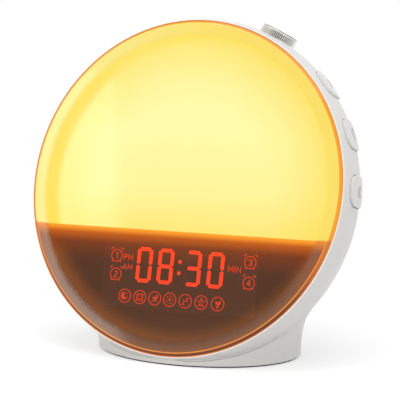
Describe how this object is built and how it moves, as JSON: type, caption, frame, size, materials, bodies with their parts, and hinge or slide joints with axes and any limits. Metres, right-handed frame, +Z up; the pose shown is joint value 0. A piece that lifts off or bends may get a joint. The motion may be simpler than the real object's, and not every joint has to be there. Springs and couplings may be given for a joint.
{
  "type": "sunrise alarm clock",
  "caption": "Round bedside wake-up light with a lit dome face, red clock display, ribbed dial, side keys and an oval foot.",
  "frame": {"origin": "centre of the oval foot pad, on the table plane", "axes": "+Z up; -Y towards the viewer in front of the leaning face; +X to the right of that viewer, where the dial is"},
  "size_m": [0.1756, 0.0852, 0.1684],
  "materials": {
    "white_shell": "satin white moulding",
    "button_white": "satin white moulding",
    "grey_plastic": "matt",
    "rubber": "matt",
    "clear_lens": "polished, amber at the rim",
    "black_foam": "foam",
    "gasket_pale": "soft translucent silicone",
    "lit_diffuser": "translucent, lit from behind",
    "smoked_window": "smoked",
    "reflector_white": "matt white",
    "board_white": "solder resist",
    "led_yellow": "phosphor",
    "led_clear": "clear",
    "black_plastic": "fine matt",
    "lit_segments": "lit red",
    "board_green": "solder resist",
    "screw_steel": "zinc plated",
    "dark_plastic": "matt",
    "chip_black": "moulded",
    "shield_metal": "tinned sheet",
    "capacitor_sleeve": "sleeve",
    "connector_ivory": "matt",
    "magnet": "ferrite",
    "speaker_paper": "pressed pulp",
    "knob_satin": "satin silver, ribbed",
    "flex_amber": "polyimide film",
    "contact_brass": "bright"
  },
  "bodies": {
    "clock": {"front_housing": "white_shell", "rear_cover": "white_shell", "foot": "white_shell", "base_plate": "grey_plastic", "foot_pad": "rubber", "front_lens": "clear_lens", "lens_gasket": "gasket_pale", "light_diffuser": "lit_diffuser", "display_window": "smoked_window", "light_tray": "reflector_white", "light_board": "board_white", "warm_leds": "led_yellow", "color_leds": "led_clear", "display_shroud": "black_plastic", "led_display": "black_plastic", "display_segments": "lit_segments", "display_board": "board_green", "display_screws": "screw_steel", "chassis": "dark_plastic", "chassis_screws": "screw_steel", "main_board": "board_green", "main_board_chips": "chip_black", "radio_module": "shield_metal", "capacitors": "capacitor_sleeve", "board_connectors": "connector_ivory", "main_board_screws": "screw_steel", "speaker_frame": "dark_plastic", "speaker_magnet": "magnet", "speaker_cone": "speaker_paper", "speaker_gasket": "black_foam", "encoder_body": "shield_metal", "knob_board": "board_green", "key_bracket_right": "grey_plastic", "key_bracket_left": "grey_plastic", "key_strip_right": "flex_amber", "key_strip_left": "flex_amber", "key_switches_right": "chip_black", "key_switches_left": "chip_black", "power_inlet": "black_plastic", "aerial_grommet": "rubber", "coin_cell": "shield_metal", "battery_contacts": "contact_brass", "rear_screws": "screw_steel", "base_screws": "screw_steel"},
    "knob": {"knob": "knob_satin", "knob_shaft": "screw_steel"},
    "battery_door": {"battery_door": "white_shell", "battery_screw": "screw_steel"},
    "button_right_1": {"button_right_1": "button_white"},
    "button_right_2": {"button_right_2": "button_white"},
    "button_right_3": {"button_right_3": "button_white"},
    "button_left_1": {"button_left_1": "button_white"},
    "button_left_2": {"button_left_2": "button_white"},
    "button_left_3": {"button_left_3": "button_white"}
  },
  "joints": [
    {"name": "knob_turn", "type": "hinge", "parent": "clock", "child": "knob", "pos_m": [0.03525, 0.01553, 0.15699], "axis": [0.4147, 0.2201, 0.8829], "continuous": true},
    {"name": "press_right_1", "type": "slide", "parent": "clock", "child": "button_right_1", "axis": [-0.9993, -0.0093, -0.0372], "range_m": [0, 0.0006], "stiffness_N_per_m": 1500},
    {"name": "press_right_2", "type": "slide", "parent": "clock", "child": "button_right_2", "axis": [-0.9348, -0.0859, -0.3446], "range_m": [0, 0.0006], "stiffness_N_per_m": 1500},
    {"name": "press_right_3", "type": "slide", "parent": "clock", "child": "button_right_3", "axis": [-0.7727, -0.1536, -0.6159], "range_m": [0, 0.0006], "stiffness_N_per_m": 1500},
    {"name": "press_left_1", "type": "slide", "parent": "clock", "child": "button_left_1", "axis": [0.9993, -0.0093, -0.0372], "range_m": [0, 0.0006], "stiffness_N_per_m": 1500},
    {"name": "press_left_2", "type": "slide", "parent": "clock", "child": "button_left_2", "axis": [0.9348, -0.0859, -0.3446], "range_m": [0, 0.0006], "stiffness_N_per_m": 1500},
    {"name": "press_left_3", "type": "slide", "parent": "clock", "child": "button_left_3", "axis": [0.7727, -0.1536, -0.6159], "range_m": [0, 0.0006], "stiffness_N_per_m": 1500},
    {"name": "battery_door_lift", "type": "slide", "parent": "clock", "child": "battery_door", "axis": [0, 0.9703, -0.2419], "range_m": [0, 0.015]}
  ]
}
